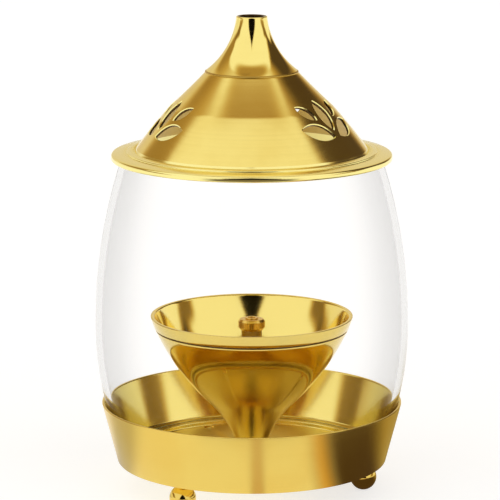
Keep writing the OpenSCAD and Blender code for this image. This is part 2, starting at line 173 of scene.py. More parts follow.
class LidSizes(bpy.types.PropertyGroup):
    """The pierced lid and its spout"""

    flange_z: level("Flange", "Height of the flange's underside", bottom("lid_cone"))
    groove_z: level("Groove", "Height of the groove that stands on the glass", top("glass_chimney"))
    seat_z: level("Seat", "Height of the spout's seat", top("lid_cone"))
    top_z: level("Mouth", "Height of the spout's mouth", top("lid_spout"))
    flange_r: length("Flange radius", "Radius of the flange", 49.0)
    edge_t: length("Edge", "Thickness of the flange's edge", 2.1)
    groove_in_r: length("Groove inside", "Radius of the groove's inner wall", 42.4778)
    groove_out_r: length("Groove outside", "Radius of the groove's outer wall", 45.8326)
    lip_wall: length("Lip wall", "Thickness of the lip inside the groove", 1.0)
    foot_r: length("Cone foot", "Radius of the cone's foot", 40.1778)
    foot_h: length("Crown", "Height of the cone's foot above the flange's underside", 3.9)
    shoulder_r: length("Shoulder", "Radius where the slope changes", 28.2)
    shoulder_h: length("Shoulder height", "Height of the shoulder above the cone's foot", 14.7)
    swell: length("Swell", "Swell of the lower cone", 0.2)
    hollow: length("Hollow", "Hollow of the upper cone", 0.15)
    cone_t: length("Cone thickness", "Upright thickness of the cone", 1.6)
    seat_r: length("Seat radius", "Radius of the cone at the spout's seat", 16.1)
    ring_w: length("Ring", "Width of the raised ring round the cone", 3.4)
    ring_drop: length("Ring drop", "How far the ring's edge lies below the cone's foot", 0.8)
    ring_step: length("Ring step", "Size of the turned steps", 0.5)
    spout_foot_r: length("Spout foot", "Radius of the spout's foot", 16.25)
    spout_foot_h: length("Spout foot height", "Height of the spout's upright foot", 0.3)
    spout_mouth_r: length("Spout mouth", "Outside radius of the spout's mouth", 5.35)
    spout_flare: length("Spout flare", "Hollow of the flare", 2.35)
    spout_wall: length("Spout wall", "Thickness of the spout, measured level", 1.2)


class Finishes(bpy.types.PropertyGroup):
    """Colours and gloss of the brass and the glass"""

    brass: tint("Brass", "Colour of clean brass", (0.84, 0.62, 0.145))
    brass_warm: tint("Warm brass", "Colour of brass in its warmer clouds", (0.80, 0.54, 0.105))
    pale_brass: tint("Pale brass", "Colour of the lid, and of the cup and tray inside", (0.94, 0.755, 0.225))
    cup_brass: tint("Cup brass", "Colour of the cup's outside", (0.72, 0.555, 0.16))
    bright_brass: tint("Bright brass", "Colour of the spout's polished brass", (0.985, 0.82, 0.265))
    flange_brass: tint("Flange brass", "Colour of the flange and the leaves' broken edges", (0.99, 0.88, 0.34))
    cut_brass: tint("Cut brass", "Colour of the leaves' walls and the cup's groove", (0.12, 0.07, 0.025))
    raw_brass: tint("Raw brass", "Colour of the lid's unpolished inside and the wick post", (0.56, 0.38, 0.09))
    wick_brass: tint("Wick brass", "Colour of the duller brass round the wick", (0.84, 0.56, 0.14))
    glass: tint("Glass", "Colour of the glass", (1.0, 1.0, 1.0))
    satin: share("Satin", "Roughness of the spun lid", 0.17)
    polish: share("Polish", "Roughness of polished brass", 0.07)


# Steps of a full turn, of a small piece's turn, of arcs and of a rounded corner
TURN_STEPS = 192
SMALL_TURN_STEPS = 96
FOOT_TURN_STEPS = 64
ARC_STEPS = 24
LONG_ARC_STEPS = 40
GLASS_ARC_STEPS = 32
STEEP_ARC_STEPS = 16
RIVET_ARC_STEPS = 6
BEVEL_STEPS = 3
# Faces that meet at more than this angle have a sharp edge between them
SHARP = math.radians(32)
# Points nearer than this are one point
MERGE = 1e-7

FOOT_NODES = ("foot_1", "foot_2", "foot_3")
# Room on each side of a root, a screw, a tube and a spigot
FIT = 0.05 * MM
SCREW_HOLE_R = 2.2 * MM
SCREW_R = 2.0 * MM
SCREW_REACH = 9.0 * MM
# Rise of the arcs of the cup's steep inner wall and of its bowl below, and the rounding at its floor
STEEP_RISE = 0.26 * MM
BOWL_RISE = 1.6 * MM
BOWL_ROUNDING = 1.2 * MM
SHANK_H = 8.0 * MM
KNURL_HEIGHT = 0.28 * MM
KNURL_ROWS = 4
GLASS_ROUNDING = 0.9 * MM
SPIGOT_WALL = 1.0 * MM
SPIGOT_DEPTH = 2.2 * MM
JOINT_LINE = 0.4 * MM
LEAF_CHAMFER = 0.3 * MM
LEAF_STEPS = 28
# Turn from the front in degrees and lift of each sprig of leaves
SPRIGS = ((58.5, 0.2 * MM), (-72.5, -0.8 * MM), (173, 0.0))
# Turn from the sprig's middle, height from the shoulder, lean from upright, length and width of each leaf
LEAVES = (
    (0, -1.0 * MM, 0, 12.6 * MM, 6.0 * MM),
    (16.5, 0.4 * MM, 46, 8.6 * MM, 3.8 * MM),
    (-16.5, 0.4 * MM, -46, 8.6 * MM, 3.8 * MM),
    (14, -5.9 * MM, 72, 14.0 * MM, 6.2 * MM),
    (-14, -5.9 * MM, -72, 14.0 * MM, 6.2 * MM),
)


class Section:
    """Half of a turned section, drawn as a chain of edges from point to point in the XZ plane."""

    def __init__(self, r, z):
        self.bm = bmesh.new()
        self.start = self.tip = bmesh.ops.create_vert(self.bm, co=(r, 0, z))["vert"][0]
        self.corners = {}

    def to(self, r, z, rounding=0.0):
        """A straight line to (r, z), whose end is rounded once the chain is complete."""
        self.tip = bmesh.ops.extrude_vert_indiv(self.bm, verts=[self.tip])["verts"][0]
        bmesh.ops.translate(self.bm, verts=[self.tip], vec=Vector((r, 0, z)) - self.tip.co)
        return self.rounded(rounding)

    def arc(self, r, z, rise, steps=ARC_STEPS, rounding=0.0):
        """An arc to (r, z) that rises to the left of the straight line, or to its right below zero."""
        start, end = self.tip.co.copy(), Vector((r, 0, z))
        chord = end - start
        left = Vector((-chord.z, 0, chord.x)).normalized()
        radius = (chord.length_squared / 4 + rise * rise) / (2 * rise)
        swept = bmesh.ops.spin(
            self.bm,
            geom=[self.tip],
            cent=(start + end) / 2 + left * (rise - radius),
            axis=(0, math.copysign(1, rise), 0),
            dvec=(0, 0, 0),
            angle=2 * math.asin(chord.length / 2 / abs(radius)),
            steps=steps,
            use_duplicate=False,
        )
        self.tip = swept["geom_last"][0]
        return self.rounded(rounding)

    def rounded(self, rounding):
        if rounding:
            self.corners.setdefault(rounding, []).append(self.tip)
        return self

    def turned(self, closed=False, steps=TURN_STEPS):
        """The solid that the section makes when it is turned about the lamp's axis."""
        bm = self.bm
        if closed:
            bmesh.ops.contextual_create(bm, geom=[self.tip, self.start])
        for rounding, verts in self.corners.items():
            bmesh.ops.bevel(
                bm,
                geom=verts,
                offset=rounding,
                offset_type="OFFSET",
                segments=BEVEL_STEPS,
                profile=0.5,
                affect="VERTICES",
                material=-1,
            )
        bmesh.ops.spin(
            bm,
            geom=bm.verts[:] + bm.edges[:],
            cent=(0, 0, 0),
            axis=(0, 0, 1),
            dvec=(0, 0, 0),
            angle=math.tau,
            steps=steps,
            use_merge=True,
            use_duplicate=False,
        )
        bmesh.ops.remove_doubles(bm, verts=bm.verts, dist=MERGE)
        bmesh.ops.recalc_face_normals(bm, faces=bm.faces)
        return bm


def soften(bm):
    """Smooth faces, with sharp edges where two faces meet at a clear angle."""
    for face in bm.faces:
        face.smooth = True
    for edge in bm.edges:
        edge.smooth = edge.calc_face_angle(0) < SHARP


def make_piece(bm, name, body, node, slot, *materials):
    """Makes the bmesh an object that stands for a CAD node and moves with its body."""
    soften(bm)
    mesh = bpy.data.meshes.new(name)
    bm.to_mesh(mesh)
    bm.free()
    for material in materials:
        mesh.materials.append(material)
    piece = bpy.data.objects.new(name, mesh)
    bpy.context.scene.collection.objects.link(piece)
    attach(piece, body)
    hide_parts(node)


def bored(bm, cutter, slots=1):
    """The first bmesh with the second one cut out of it. The walls keep the cutter's material indices."""
    things = []
    for part in (bm, cutter):
        mesh = bpy.data.meshes.new("work")
        for _ in range(slots):
            mesh.materials.append(None)
        part.to_mesh(mesh)
        part.free()
        things.append(bpy.data.objects.new("work", mesh))
        bpy.context.scene.collection.objects.link(things[-1])
    cut = things[0].modifiers.new("cut", "BOOLEAN")
    cut.operation = "DIFFERENCE"
    cut.solver = "EXACT"
    cut.object = things[1]
    result = bmesh.new()
    result.from_object(things[0], bpy.context.evaluated_depsgraph_get())
    for thing in things:
        mesh = thing.data
        bpy.data.objects.remove(thing)
        bpy.data.meshes.remove(mesh)
    bmesh.ops.remove_doubles(result, verts=result.verts, dist=MERGE)
    if any(not edge.is_manifold for edge in result.edges):
        raise RuntimeError("the cut left an open edge")
    return result


def add_rod(bm, r, depth, place, segments=48):
    """A round cutter of the given depth, centred on its place."""
    bmesh.ops.create_cone(
        bm, cap_ends=True, segments=segments, radius1=r, radius2=r, depth=depth, matrix=place
    )


# Materials


class Nodes:
    """Shorthand for adding and joining the nodes of one tree."""

    def __init__(self, tree):
        self.tree = tree
        tree.nodes.clear()

    def add(self, kind, inputs=None, **settings):
        node = self.tree.nodes.new(kind)
        for name, value in settings.items():
            setattr(node, name, value)
        for socket, value in (inputs or {}).items():
            self.feed(value, node.inputs[socket])
        return node

    def feed(self, value, socket):
        if isinstance(value, bpy.types.NodeSocket):
            self.tree.links.new(value, socket)
        else:
            socket.default_value = value

    def math(self, operation, a, b=0.0, clamp=False):
        return self.add("ShaderNodeMath", {0: a, 1: b}, operation=operation, use_clamp=clamp).outputs[0]

    def plus(self, a, b, clamp=False):
        return self.math("ADD", a, b, clamp)

    def minus(self, a, b, clamp=False):
        return self.math("SUBTRACT", a, b, clamp)

    def times(self, a, b, clamp=False):
        return self.math("MULTIPLY", a, b, clamp)

    def vector(self, operation, a, b=(0, 0, 0)):
        """The outputs of a vector operation: a vector first, then its Value."""
        return self.add("ShaderNodeVectorMath", {0: a, 1: b}, operation=operation).outputs

    def level_part(self, way):
        """A place or direction without its height."""
        return self.vector("MULTIPLY", way, (1, 1, 0))[0]

    def parts(self, way):
        return self.add("ShaderNodeSeparateXYZ", {0: way}).outputs

    def noise(self, place, scale, detail, **more):
        inputs = {"Vector": place, "Scale": scale, "Detail": detail}
        inputs.update((name.capitalize(), value) for name, value in more.items())
        return self.add("ShaderNodeTexNoise", inputs).outputs[0]

    def ramp(self, value, low, high, to_low=0.0, to_high=1.0):
        """A smooth change from one number to another, as the value goes from low to high."""
        node = self.add(
            "ShaderNodeMapRange",
            {"Value": value, "From Min": low, "From Max": high, "To Min": to_low, "To Max": to_high},
            interpolation_type="SMOOTHSTEP",
        )
        return node.outputs["Result"]

    def mix(self, factor, a, b):
        node = self.add("ShaderNodeMix", data_type="RGBA")
        self.feed(factor, node.inputs[0])
        self.feed(a, node.inputs[6])
        self.feed(b, node.inputs[7])
        return node.outputs[2]

    def finish(self, shader, output="ShaderNodeOutputMaterial"):
        self.feed(shader.outputs[0], self.add(output).inputs["Surface"])


def rgba(colour):
    return (*colour, 1.0)


def new_material(name):
    """The material of this name, with an empty node tree."""
    material = bpy.data.materials.get(name) or bpy.data.materials.new(name)
    material.use_nodes = True
    return material, Nodes(material.node_tree)


VECTOR, COLOUR, NUMBER = "NodeSocketVector", "NodeSocketColor", "NodeSocketFloat"


def node_group(name, inputs, outputs):
    """Turns a function that fills a node group into one that places the group and gives its outputs.
    The group itself is made once."""

    def wrap(fill):
        def placed(n, values):
            tree = bpy.data.node_groups.get(name)
            if tree is None:
                tree = bpy.data.node_groups.new(name, "ShaderNodeTree")
                for side, sockets in (("INPUT", inputs), ("OUTPUT", outputs)):
                    for socket, kind in sockets.items():
                        tree.interface.new_socket(socket, in_out=side, socket_type=kind)
                inner = Nodes(tree)
                fill(inner, inner.add("NodeGroupInput").outputs, inner.add("NodeGroupOutput").inputs)
            return n.add("ShaderNodeGroup", values, node_tree=tree).outputs

        return placed

    return wrap


@node_group("Lathe lines", {"Place": VECTOR, "Lines per metre": NUMBER}, {"Line": NUMBER})
def lathe_lines(n, given, made):
    """Fine rings left by the lathe: uneven in width, and fading in and out round the piece."""
    radius = n.vector("LENGTH", n.level_part(given["Place"]))["Value"]
    along = n.add("ShaderNodeCombineXYZ", {"X": radius, "Y": n.parts(given["Place"])["Z"]}).outputs[0]
    fine = n.add(
        "ShaderNodeTexNoise",
        {"Vector": along, "Scale": given["Lines per metre"], "Detail": 2.0, "Roughness": 0.6},
        noise_dimensions="2D",
    ).outputs[0]
    fade = n.ramp(n.noise(given["Place"], 55.0, 3.0, roughness=0.55), 0.3, 0.7, 0.4, 1.0)
    strength = n.plus(0.5, n.times(fade, 0.5))
    n.feed(n.plus(n.times(n.minus(fine, 0.5), strength), 0.5), made["Line"])


@node_group(
    "Brass tone",
    {"Place": VECTOR, "Pale": COLOUR, "Warm": COLOUR, "Line": NUMBER},
    {"Colour": COLOUR, "Smudge": NUMBER},
)
def brass_tone(n, given, made):
    """Clouds of warmer and paler brass, with a few finger smudges."""
    cloud = n.noise(given["Place"], 38.0, 4.0, roughness=0.6)
    smear = n.noise(given["Place"], 90.0, 5.0, roughness=0.65, distortion=0.8)
    streak = n.times(n.minus(given["Line"], 0.5), 0.5)
    warmth = n.plus(n.ramp(cloud, 0.35, 0.7), streak)
    n.feed(n.mix(n.times(warmth, 0.55, clamp=True), given["Pale"], given["Warm"]), made["Colour"])
    n.feed(n.ramp(smear, 0.5, 0.75), made["Smudge"])


@node_group("Outer side", {"Place": VECTOR, "Normal": VECTOR}, {"Outside": NUMBER})
def outer_side(n, given, made):
    """1 where a surface looks away from the lamp's axis, 0 where it looks towards it or upwards."""
    out = n.vector("NORMALIZE", n.level_part(given["Place"]))[0]
    facing = n.vector("DOT_PRODUCT", out, given["Normal"])["Value"]
    n.feed(n.ramp(facing, 0.02, 0.2), made["Outside"])


class Brass(NamedTuple):
    """A brass finish. A word stands for a colour or a gloss of the lamp's finishes."""

    pale: str
    warm: str
    # Roughness of its outer and inner sides
    outside: float | str
    inside: float
    # Lathe lines per metre, and their depth in metres
    lines: float
    line_depth: float
    # Share of brushing round the axis
    brushed: float = 0.0
    # A colour of its own for the inner side, and a roughness for the flats
    inner: str | None = None
    flats: float | None = None


BRASSES = {
    "Tray brass": Brass("brass", "brass_warm", 0.24, 0.13, 1400, 1.1e-5, 0.5, "pale_brass", 0.3),
    "Foot brass": Brass("brass", "brass_warm", 0.1, 0.1, 900, 1.0e-5),
    "Cup brass": Brass("cup_brass", "brass", "polish", 0.1, 1250, 9e-6, 0.0, "pale_brass"),
    "Wick brass": Brass("wick_brass", "brass_warm", 0.2, 0.28, 1600, 1.8e-5),
    "Post brass": Brass("raw_brass", "cut_brass", 0.3, 0.4, 1600, 1.8e-5),
    "Lid brass": Brass("pale_brass", "brass", "satin", 0.4, 1100, 6e-6, 0.3, "raw_brass"),
    "Flange brass": Brass("flange_brass", "bright_brass", 0.14, 0.3, 1400, 5e-6),
    "Spout brass": Brass("bright_brass", "pale_brass", 0.09, 0.4, 1100, 2e-6, 0.3, "cut_brass"),
    "Joint brass": Brass("brass_warm", "cut_brass", 0.35, 0.35, 1100, 5e-6),
    "Fastener brass": Brass("wick_brass", "brass_warm", 0.3, 0.3, 1800, 2.0e-5),
    # The dark brass left where no polish reaches: the walls of the leaves and the cup's groove
    "Cut brass": Brass("cut_brass", "cut_brass", 0.4, 0.4, 900, 8e-6),
}


def brass_material(name):
    """The turned brass of this name, in its present finish."""
    look = bpy.context.scene.lamp_finishes
    finish = (getattr(look, value) if isinstance(value, str) else value for value in BRASSES[name])
    pale, warm, outside, inside, lines, line_depth, brushed, inner, flats = finish
    material, n = new_material(name)
    place = n.add("ShaderNodeTexCoord").outputs["Object"]
    normal = n.add("ShaderNodeNewGeometry").outputs["Normal"]
    turned = lathe_lines(n, {"Place": place, "Lines per metre": lines})
    tone = brass_tone(n, {"Place": place, "Pale": rgba(pale), "Warm": rgba(warm), "Line": turned["Line"]})
    side = outer_side(n, {"Place": place, "Normal": normal})["Outside"]
    base = n.plus(n.times(side, outside - inside), inside)
    if flats is not None:
        level_face = n.ramp(n.parts(normal)["Z"], 0.85, 0.95)
        base = n.plus(base, n.times(level_face, flats - inside))
    smudged = n.plus(base, n.times(tone["Smudge"], 0.02))
    lined = n.times(n.minus(turned["Line"], 0.5), 0.06)
    rough = n.plus(smudged, lined, clamp=True)
    colour = n.mix(side, rgba(inner), tone["Colour"]) if inner else tone["Colour"]
    bump = n.add("ShaderNodeBump", {"Height": turned["Line"], "Strength": 1.0, "Distance": line_depth})
    shader = n.add(
        "ShaderNodeBsdfPrincipled",
        {
            "Base Color": colour,
            "Roughness": rough,
            "Metallic": 1.0,
            "Normal": bump.outputs[0],
            "Anisotropic": brushed,
            "Anisotropic Rotation": 0.25,
        },
    )
    if brushed:
        parts = n.parts(place)
        back = n.times(parts["Y"], -1.0)
        round_axis = n.add("ShaderNodeCombineXYZ", {"X": back, "Y": parts["X"]})
        n.feed(round_axis.outputs[0], shader.inputs["Tangent"])
    n.finish(shader)
    return material


def glass_material(name, colour):
    """Clear blown glass with a faint unevenness and a little dust, which darkens towards its edges.
    Its refraction is low, so that the white tent doesn't veil the brass behind it."""
    material, n = new_material(name)
    place = n.add("ShaderNodeTexCoord").outputs["Object"]
    wave = n.noise(place, 22.0, 1.0)
    film = n.noise(place, 120.0, 4.0)
    edge = n.add("ShaderNodeLayerWeight", {"Blend": 0.5}).outputs["Facing"]
    shade = n.plus(n.ramp(edge, 0.22, 0.6, 0.0, 0.115), n.ramp(edge, 0.62, 0.9, 0.0, 0.1))
    shade = n.plus(shade, n.times(n.ramp(film, 0.4, 0.8), 0.005))
    bump = n.add("ShaderNodeBump", {"Height": wave, "Strength": 0.1, "Distance": 0.0002})
    shader = n.add(
        "ShaderNodeBsdfPrincipled",
        {
            "Base Color": n.mix(shade, rgba(colour), (0, 0, 0, 1)),
            "Roughness": n.ramp(film, 0.45, 0.9, 0.0, 0.008),
            "IOR": 1.05,
            "Transmission Weight": 1.0,
            "Normal": bump.outputs[0],
        },
    )
    n.finish(shader)
    return material


# Pieces


class LAMP_OT_tray(bpy.types.Operator):
    """Turns the tray, with its ledge for the glass, and bores it for the feet and the cup's screw"""

    bl_idname = "lamp.tray"
    bl_label = "Tray"

    def execute(self, context):
        s = context.scene.lamp_tray
        lean = (s.wall_rim_r - s.wall_ledge_r) / (s.rim_z - s.ledge_z)
        under_r = s.wall_ledge_r - (s.ledge_z - s.under_z) * lean + s.wall
        section = Section(0, s.under_z)
        for r, z in (
            (under_r, s.under_z),
            (s.wall_rim_r + s.wall, s.rim_z),
            (s.wall_rim_r, s.rim_z),
            (s.wall_ledge_r, s.ledge_z),
            (s.ledge_r, s.ledge_z),
            (s.ledge_r, s.floor_z),
        ):
            section.to(r, z, s.rounding)
        section.to(0, s.floor_z)
        holes = bmesh.new()
        middle = (s.under_z + s.floor_z) / 2
        depth = 3 * (s.floor_z - s.under_z)
        for x, y in foot_places():
            add_rod(holes, context.scene.lamp_feet.tenon_r, depth, Matrix.Translation((x, y, middle)))
        add_rod(holes, SCREW_HOLE_R, depth, Matrix.Translation((0, 0, middle)))
        brass = brass_material("Tray brass")
        make_piece(bored(section.turned(), holes), "Tray", "base", "tray", "tray_brass", brass)
        return {"FINISHED"}


def foot_places():
    """Where the feet stand, from the CAD nodes."""
    for node in FOOT_NODES:
        low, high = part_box(node)
        yield (low.x + high.x) / 2, (low.y + high.y) / 2


class LAMP_OT_feet(bpy.types.Operator):
    """Turns three ball feet, each with a neck and a tenon hammered over inside the tray"""

    bl_idname = "lamp.feet"
    bl_label = "Feet"

    def execute(self, context):
        s = context.scene.lamp_feet
        tray = context.scene.lamp_tray
        brass = brass_material("Foot brass")
        centre_z = math.sqrt(s.ball_r**2 - s.flat_r**2)
        neck_z = centre_z + math.sqrt(s.ball_r**2 - s.neck_r**2)
        chord = math.hypot(s.neck_r - s.flat_r, neck_z)
        bulge = s.ball_r - math.sqrt(s.ball_r**2 - chord**2 / 4)
        for node, (x, y) in zip(FOOT_NODES, foot_places()):
            section = Section(0, 0).to(s.flat_r, 0, 0.15 * MM)
            section.arc(s.neck_r, neck_z, -bulge, 2 * ARC_STEPS, 0.3 * MM)
            section.to(s.neck_r, tray.under_z, 0.1 * MM).to(s.tenon_r, tray.under_z)
            section.to(s.tenon_r, tray.floor_z).to(s.head_r, tray.floor_z)
            section.arc(0, tray.floor_z + s.head_h, -s.head_h / 3, RIVET_ARC_STEPS)
            bm = section.turned(steps=FOOT_TURN_STEPS)
            bmesh.ops.translate(bm, verts=bm.verts, vec=(x, y, 0))
            make_piece(bm, node.capitalize(), "base", node, "foot_brass", brass)
        return {"FINISHED"}


class LAMP_OT_cup(bpy.types.Operator):
    """Turns the cup: a waisted stem, a bowl and a plain band over a groove"""

    bl_idname = "lamp.cup"
    bl_label = "Cup"

    def execute(self, context):
        s = context.scene.lamp_cup
        wick = context.scene.lamp_wick
        bend_z = s.foot_z + s.bend_h
        band_z = s.rim_z - s.band_h
        groove_z = band_z - s.groove_w
        floor_z = bend_z + s.floor_lift
        chord = Vector((s.shoulder_r - s.bend_r, groove_z - bend_z))
        radius = (chord.length_squared / 4 + s.swell**2) / (2 * s.swell)
        inward = Vector((-chord.y, chord.x)).normalized()
        centre = Vector((s.bend_r + s.shoulder_r, bend_z + groove_z)) / 2 + inward * (radius - s.swell)

        def across(r, z):
            """The radius, at a height, of a circle of radius r round the bowl's centre."""
            return centre.x + math.sqrt(r**2 - (centre.y - z) ** 2)

        waist_z = s.rim_z - s.steep_h
        waist_r = across(radius - s.steep_wall, waist_z)
        root_r = wick.root_r + FIT
        section = Section(0, s.foot_z + SCREW_REACH).to(SCREW_R + FIT, s.foot_z + SCREW_REACH)
        section.to(SCREW_R + FIT, s.foot_z).to(s.stem_r, s.foot_z, 0.2 * MM)
        section.arc(s.bend_r, bend_z, s.hollow, LONG_ARC_STEPS)
        section.arc(s.shoulder_r, groove_z, -s.swell, LONG_ARC_STEPS, 0.12 * MM)
        section.to(s.shoulder_r - s.groove_depth, groove_z, 0.1 * MM)
        section.to(s.shoulder_r - s.groove_depth, band_z, 0.1 * MM)
        section.to(s.shoulder_r + s.band_proud, band_z, 0.15 * MM)
        section.to(s.rim_r, s.rim_z, 0.4 * MM)
        section.to(s.rim_r - s.rim_wall, s.rim_z, 0.4 * MM)
        section.arc(waist_r, waist_z, STEEP_RISE, STEEP_ARC_STEPS)
        section.arc(across(radius - s.wall, floor_z), floor_z, BOWL_RISE, LONG_ARC_STEPS, BOWL_ROUNDING)
        section.to(root_r, floor_z).to(root_r, floor_z - wick.root_depth).to(0, floor_z - wick.root_depth)
        brass = brass_material("Cup brass")
        bm = section.turned()
        groove_r = s.shoulder_r - s.groove_depth - 0.2 * MM
        for face in bm.faces:
            middle = face.calc_center_median()
            if groove_z < middle.z < band_z and middle.xy.length > groove_r:
                face.material_index = 1
        make_piece(bm, "Cup", "base", "cup", "cup_brass", brass, brass_material("Cut brass"))
        return {"FINISHED"}


class LAMP_OT_wick_holder(bpy.types.Operator):
    """Turns the post with its oil holes, the knurled thumb nut and the tube with a rolled lip"""

    bl_idname = "lamp.wick_holder"
    bl_label = "Wick Holder"

    def execute(self, context):
        self.brass = brass_material("Wick brass")
        self.dull = brass_material("Post brass")
        self.sizes = context.scene.lamp_wick
        cup = context.scene.lamp_cup
        self.cup_floor_z = cup.foot_z + cup.bend_h + cup.floor_lift
        self.lip_z = top("wick_nut")
        self.post()
        self.nut()
        self.tube()
        return {"FINISHED"}

    def post(self):
        s, z = self.sizes, self.cup_floor_z
        base_z, head_z = z + s.base_h, self.lip_z - s.nut_h
        section = Section(0, z - s.root_depth + FIT).to(s.root_r, z - s.root_depth + FIT, 0.2 * MM)
        section.to(s.root_r, z).to(s.base_r, z, 0.1 * MM).to(s.base_r, base_z, 0.5 * MM)
        section.to(s.post_r, base_z, 0.4 * MM).to(s.post_r, head_z, 0.2 * MM)
        section.to(s.bore_r, head_z, 0.2 * MM).to(s.bore_r, base_z).to(0, base_z)
        holes = bmesh.new()
        across = Matrix.Translation((0, 0, base_z + s.oil_hole_h)) @ Matrix.Rotation(math.pi / 2, 4, "Y")
        add_rod(holes, s.oil_hole_r, 4 * s.post_r, across, 32)
        bm = bored(section.turned(steps=SMALL_TURN_STEPS), holes)
        make_piece(bm, "Wick_post", "base", "wick_post", "wick_brass", self.dull)

    def nut(self):
        s = self.sizes
        z, bore = self.lip_z - s.nut_h, s.tube_r + FIT
        low, high = z + s.nut_bevel, self.lip_z - s.nut_bevel
        knurl_r = s.nut_r - KNURL_HEIGHT
        section = Section(bore, z - SHANK_H).to(s.shank_r, z - SHANK_H, 0.2 * MM)
        section.to(s.shank_r, z).to(s.nut_r - s.nut_bevel, z)
        for row in range(KNURL_ROWS + 1):
            section.to(knurl_r, low + (high - low) * row / KNURL_ROWS)
        section.to(s.nut_r - s.nut_bevel, self.lip_z, 0.15 * MM).to(bore, self.lip_z)
        bm = section.turned(closed=True, steps=s.knurls)
        upright = [face for face in bm.faces if abs(face.normal.z) < 0.1]
        band = [face for face in upright if face.calc_center_median().xy.length > s.post_r + 0.5 * MM]
        bmesh.ops.poke(bm, faces=band, offset=KNURL_HEIGHT)
        make_piece(bm, "Wick_nut", "wick_nut", "wick_nut", "wick_brass", self.brass)

    def tube(self):
        s, foot_z = self.sizes, bottom("wick_tube")
        top_z = self.lip_z + s.lip_t
        section = Section(s.tube_bore_r, foot_z).to(s.collar_r, foot_z, 0.15 * MM)
        section.to(s.collar_r, foot_z + s.collar_t, 0.15 * MM).to(s.tube_r, foot_z + s.collar_t)
        section.to(s.tube_r, self.lip_z).to(s.lip_r, self.lip_z, 0.2 * MM)
        section.to(s.lip_r, top_z, 0.22 * MM).to(s.tube_bore_r, top_z, 0.25 * MM)
        bm = section.turned(closed=True, steps=SMALL_TURN_STEPS)
        make_piece(bm, "Wick_tube", "wick_tube", "wick_tube", "wick_brass", self.brass)


class LAMP_OT_chimney(bpy.types.Operator):
    """Blows the barrel glass, open at both ends"""

    bl_idname = "lamp.chimney"
    bl_label = "Chimney"

    def execute(self, context):
        s = context.scene.lamp_chimney
        belly_z = s.foot_z + s.belly_h

        def half(r_end, h):
            """The arc's radius, and the inside radius at its end."""
            radius = (h * h + (s.belly_r - r_end) ** 2) / (2 * (s.belly_r - r_end))
            return radius, s.belly_r - radius + math.sqrt((radius - s.wall) ** 2 - h * h)

        def rise(radius, r_end, r_belly, h):
            """How far the arc rises from the straight line."""
            chord = math.hypot(r_belly - r_end, h)
            return radius - math.sqrt(radius**2 - chord**2 / 4)

        lower, foot_in = half(s.foot_r, s.belly_h)
        upper_h = s.mouth_z - belly_z
        upper, mouth_in = half(s.mouth_r, upper_h)
        belly_in = s.belly_r - s.wall
        steps, round_end = GLASS_ARC_STEPS, GLASS_ROUNDING
        section = Section((foot_in + s.foot_r) / 2, s.foot_z).to(s.foot_r, s.foot_z, round_end)
        section.arc(s.belly_r, belly_z, -rise(lower, s.foot_r, s.belly_r, s.belly_h), steps)
        section.arc(s.mouth_r, s.mouth_z, -rise(upper, s.mouth_r, s.belly_r, upper_h), steps, round_end)
        section.to(mouth_in, s.mouth_z, round_end)
        section.arc(belly_in, belly_z, rise(upper - s.wall, mouth_in, belly_in, upper_h), steps)
        section.arc(foot_in, s.foot_z, rise(lower - s.wall, foot_in, belly_in, s.belly_h), steps, round_end)
        glass = glass_material("Chimney glass", context.scene.lamp_finishes.glass)
        bm = section.turned(closed=True)
        make_piece(bm, "Chimney", "chimney", "glass_chimney", "chimney_glass", glass)
        return {"FINISHED"}


def add_leaf(bm, sheet, leaf_l, leaf_w, depth, place):
    """A pointed leaf-shaped cutter, lying along X, that goes through the sheet and breaks its outer edge."""
    outline = bmesh.new()
    tip = bmesh.ops.create_vert(outline, co=(-leaf_l / 2, 0, -depth))["vert"][0]
    radius = (leaf_l**2 / 4 + leaf_w**2 / 4) / leaf_w
    middle = radius - leaf_w / 2
    half = math.asin(leaf_l / 2 / radius)
    for side in (1, -1):
        edge = bmesh.ops.spin(
            outline,
            geom=[tip],
            cent=(0, -side * middle, -depth),
            axis=(0, 0, -1),
            dvec=(0, 0, 0),
            angle=2 * half,
            steps=LEAF_STEPS,
            use_duplicate=False,
        )
        tip = edge["geom_last"][0]
    bmesh.ops.remove_doubles(outline, verts=outline.verts, dist=1e-6)

    def surface(x, y):
        """The sheet's outer surface over a point of the leaf."""
        hit = sheet.ray_cast(place @ Vector((x, y, depth)), place.to_3x3() @ Vector((0, 0, -1)))[0]
        return (place.inverted() @ hit).z

    wide = radius + 2 * LEAF_CHAMFER
    spread = math.acos(middle / wide) / half

    def grown(x, y):
        """The point of the leaf grown by twice the chamfer."""
        angle = math.atan2(x, abs(y) + middle) * spread
        return wide * math.sin(angle), math.copysign(wide * math.cos(angle) - middle, y)

    cap = bmesh.ops.contextual_create(outline, geom=outline.edges[:])["faces"][0]
    stages = (
        (1, lambda x, y, z: (x, y, surface(x, y) - LEAF_CHAMFER)),
        (2, lambda x, y, z: (*grown(x, y), z + 2 * LEAF_CHAMFER)),
        (2, lambda x, y, z: (x, y, depth)),
    )
    for index, moved in stages:
        before = set(outline.faces)
        risen = bmesh.ops.extrude_face_region(outline, geom=[cap, *cap.edges])["geom"]
        cap = next(g for g in risen if isinstance(g, bmesh.types.BMFace))
        for vert in cap.verts:
            bmesh.ops.translate(outline, verts=[vert], vec=Vector(moved(*vert.co)) - vert.co)
        for face in set(outline.faces) - before:
            face.material_index = index
    bmesh.ops.recalc_face_normals(outline, faces=outline.faces)
    bmesh.ops.transform(outline, matrix=place, verts=outline.verts)
    mesh = bpy.data.meshes.new("leaf")
    outline.to_mesh(mesh)
    outline.free()
    bm.from_mesh(mesh)
    bpy.data.meshes.remove(mesh)


